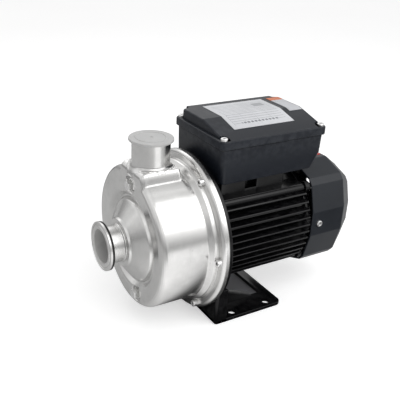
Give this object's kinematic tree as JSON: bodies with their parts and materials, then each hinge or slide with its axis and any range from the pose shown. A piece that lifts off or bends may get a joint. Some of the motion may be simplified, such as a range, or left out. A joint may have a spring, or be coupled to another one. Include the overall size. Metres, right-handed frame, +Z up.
{
  "type": "centrifugal pump",
  "caption": "Close-coupled centrifugal pump: pressed stainless casing with front suction ferrule and top discharge tube, finned motor on a foot, terminal box and fan cover.",
  "frame": {"origin": "centre of the four foot bolt holes, on the underside of the foot", "axes": "+X along the shaft from the suction port to the fan, +Z up through the discharge port, +Y towards the cable gland's side"},
  "size_m": [0.2888, 0.1706, 0.2096],
  "materials": {
    "pressed_steel": "pressed stainless sheet, bright satin",
    "fastener_steel": "plain stainless fasteners",
    "shaft_steel": "turned and ground stainless",
    "bearing_steel": "ground bearing steel",
    "core_laminations": "stacked electrical steel, edge grain",
    "cast_aluminium": "cast, unpainted",
    "winding_copper": "lacquered copper wire, laced",
    "motor_paint": "black paint, fine texture, semi-matt",
    "hood_finish": "dark grey paint, semi-matt",
    "box_plastic": "moulded dark plastic, fine texture",
    "gland_plastic": "moulded black plastic",
    "fan_plastic": "moulded black plastic",
    "board_plastic": "moulded dark thermoset",
    "post_brass": "turned brass",
    "capacitor_case": "drawn can",
    "cap_plastic": "milky moulded plastic",
    "washer_plastic": "white flat washer",
    "sealing_sheet": "pressed sealing sheet",
    "black_rubber": "black moulded rubber",
    "ceramic_seat": "fired ceramic, lapped face",
    "carbon_face": "lapped carbon",
    "plate_metal": "thin plate with plain ruled fields",
    "label_film": "thin film label, bare",
    "arrow_film": "thin red film with a plain arrow"
  },
  "bodies": {
    "frame": {"pump_casing": "pressed_steel", "suction_ferrule": "pressed_steel", "suction_seal_ring": "black_rubber", "discharge_neck": "pressed_steel", "plug_bushes": "pressed_steel", "casing_cover": "pressed_steel", "casing_gasket": "sealing_sheet", "casing_bolts": "fastener_steel", "diffuser": "pressed_steel", "wear_ring": "black_rubber", "seal_seat": "ceramic_seat", "seal_seat_cup": "black_rubber", "front_bearing_outer_ring": "bearing_steel", "rear_bearing_outer_ring": "bearing_steel", "preload_ring": "bearing_steel", "stator_core": "core_laminations", "stator_windings": "winding_copper", "motor_bracket": "motor_paint", "foot": "motor_paint", "foot_screws": "fastener_steel", "motor_housing": "motor_paint", "rear_shield": "motor_paint", "tie_rods": "fastener_steel", "fan_cover": "hood_finish", "fan_cover_screws": "fastener_steel", "terminal_box_base": "box_plastic", "lid_gasket": "black_rubber", "terminal_box_lid": "box_plastic", "lid_screws": "fastener_steel", "rating_plate": "plate_metal", "side_label": "label_film", "rotation_label": "arrow_film", "terminal_board": "board_plastic", "terminal_posts": "post_brass", "run_capacitor": "capacitor_case", "capacitor_strap": "board_plastic", "box_screws": "fastener_steel", "earth_screw": "post_brass", "gland_body": "gland_plastic", "gland_seal": "black_rubber", "gland_cap": "gland_plastic"},
    "rotor": {"shaft": "shaft_steel", "impeller": "pressed_steel", "impeller_key": "shaft_steel", "impeller_nut": "fastener_steel", "seal_face": "carbon_face", "seal_head": "shaft_steel", "seal_spring": "shaft_steel", "front_bearing_inner_ring": "bearing_steel", "front_bearing_balls": "bearing_steel", "rear_bearing_inner_ring": "bearing_steel", "rear_bearing_balls": "bearing_steel", "rotor_core": "core_laminations", "rotor_end_rings": "cast_aluminium", "cooling_fan": "fan_plastic"},
    "outlet_cap": {"discharge_cap": "cap_plastic"},
    "vent_slide": {"vent_washer": "washer_plastic"},
    "vent_screw": {"vent_plug": "fastener_steel"},
    "drain_slide": {"drain_washer": "washer_plastic"},
    "drain_screw": {"drain_plug": "fastener_steel"}
  },
  "joints": [
    {"name": "rotor_spin", "type": "hinge", "parent": "frame", "child": "rotor", "pos_m": [0, 0, 0.09], "axis": [1, 0, 0], "continuous": true},
    {"name": "discharge_cap_lift", "type": "slide", "parent": "frame", "child": "outlet_cap", "axis": [0, 0, 1], "range_m": [0, 0.03]},
    {"name": "vent_travel", "type": "slide", "parent": "frame", "child": "vent_slide", "axis": [-1, 0, 0], "range_m": [0, 0.009]},
    {"name": "vent_turn", "type": "hinge", "parent": "vent_slide", "child": "vent_screw", "pos_m": [-0.1193, 0, 0.151], "axis": [-1, 0, 0], "range_deg": [0, 3240]},
    {"name": "drain_travel", "type": "slide", "parent": "frame", "child": "drain_slide", "axis": [-1, 0, 0], "range_m": [0, 0.009]},
    {"name": "drain_turn", "type": "hinge", "parent": "drain_slide", "child": "drain_screw", "pos_m": [-0.1193, -0.01475, 0.03494], "axis": [-1, 0, 0], "range_deg": [0, 3240]}
  ],
  "couplings": [
    {"joint": "vent_turn", "follows": "vent_travel", "rad_per_m": 6283.2},
    {"joint": "drain_turn", "follows": "drain_travel", "rad_per_m": 6283.2}
  ]
}
